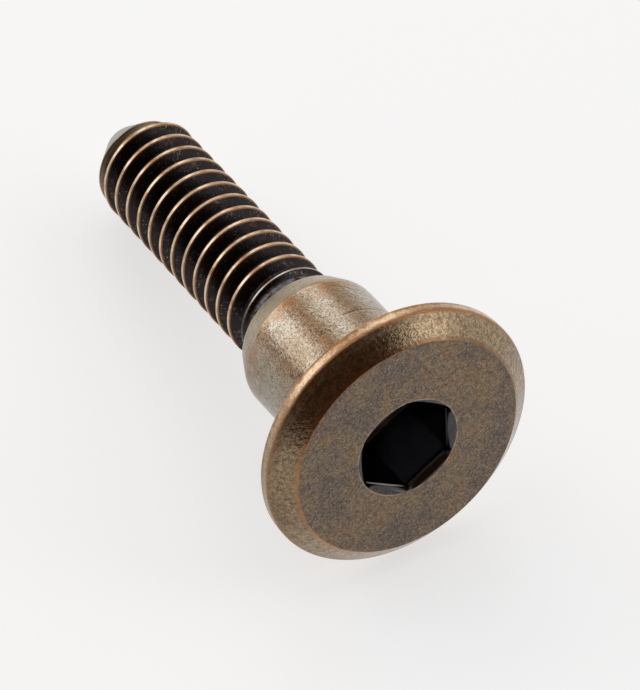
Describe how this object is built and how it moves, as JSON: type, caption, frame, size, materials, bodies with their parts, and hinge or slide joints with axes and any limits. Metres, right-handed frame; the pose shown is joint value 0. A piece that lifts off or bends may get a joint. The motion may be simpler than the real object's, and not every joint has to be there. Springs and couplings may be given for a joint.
{
  "type": "shoulder bolt",
  "caption": "Shoulder bolt with a wide bevelled head, a hex socket, a plain round shoulder and a coarse thread with a coned tip, in a worn antique bronze finish.",
  "frame": {"origin": "centre of the head's flat face, on the bolt's axis", "axes": "+Z along the bolt from the head's face to the threaded tip, X through two opposite corners of the hex socket, Y square to two of its flats"},
  "size_m": [0.016, 0.016, 0.0311],
  "materials": {
    "antique_bronze": "steel with a worn antique bronze plating: mottled brown on the head, champagne on the shoulder, near black in the thread, copper where edges have worn"
  },
  "bodies": {
    "root": {"shoulder_bolt": "antique_bronze"}
  },
  "joints": []
}
